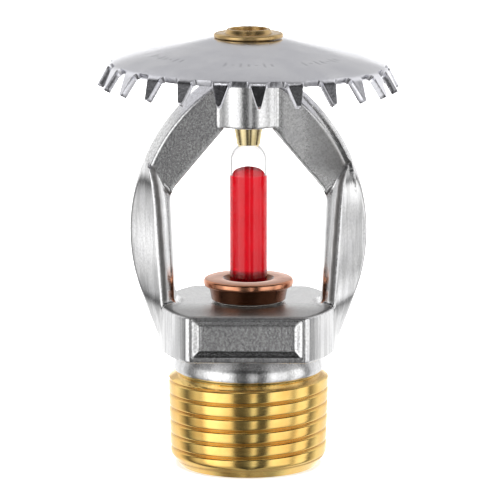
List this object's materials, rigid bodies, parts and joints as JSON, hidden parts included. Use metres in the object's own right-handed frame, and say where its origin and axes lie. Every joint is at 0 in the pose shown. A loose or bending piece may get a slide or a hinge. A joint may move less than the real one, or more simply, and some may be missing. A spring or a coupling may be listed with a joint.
{
  "type": "fire sprinkler head",
  "caption": "Upright fire sprinkler head: a threaded cast frame whose glass bulb holds a valve button shut below a bent-tine deflector.",
  "frame": {"origin": "centre of the inlet face, at the bottom of the thread, on the head's axis", "axes": "+Z along the axis from the inlet to the deflector; the two frame arms lie along X, and the wrench flats face -Y and +Y"},
  "size_m": [0.04, 0.04, 0.0588],
  "materials": {
    "plated_brass": "cast brass with a satin chrome plating; polished wrench boss, bare brass thread",
    "satin_chrome": "stamped sheet, satin chrome",
    "brass": "turned, slightly dull",
    "copper": "pressed copper, bright",
    "nickel_alloy": "rolled spring strip",
    "sealing_film": "thin fluoropolymer film",
    "bulb_glass": "clear, polished",
    "bulb_liquid": "clear red liquid"
  },
  "bodies": {
    "root": {"frame": "plated_brass", "deflector": "satin_chrome", "deflector_bushing": "brass"},
    "screw": {"compression_screw": "brass"},
    "valve": {"valve_button": "copper", "disc_spring": "nickel_alloy", "lower_seal_film": "sealing_film", "upper_seal_film": "sealing_film"},
    "bulb": {"bulb_glass": "bulb_glass", "bulb_liquid": "bulb_liquid"}
  },
  "joints": [
    {"name": "screw_travel", "type": "slide", "parent": "root", "child": "screw", "axis": [0, 0, 1], "range_m": [0, 0.016]},
    {"name": "valve_lift", "type": "slide", "parent": "root", "child": "valve", "axis": [0, 0, 1], "range_m": [0, 0.0016]},
    {"name": "bulb_tip", "type": "hinge", "parent": "valve", "child": "bulb", "pos_m": [0, -0.0026, 0.02535], "axis": [1, 0, 0], "range_deg": [0, 60]}
  ],
  "couplings": [
    {"joint": "valve_lift", "follows": "screw_travel", "ratio": 0.094},
    {"joint": "bulb_tip", "follows": "screw_travel", "rad_per_m": 65}
  ]
}
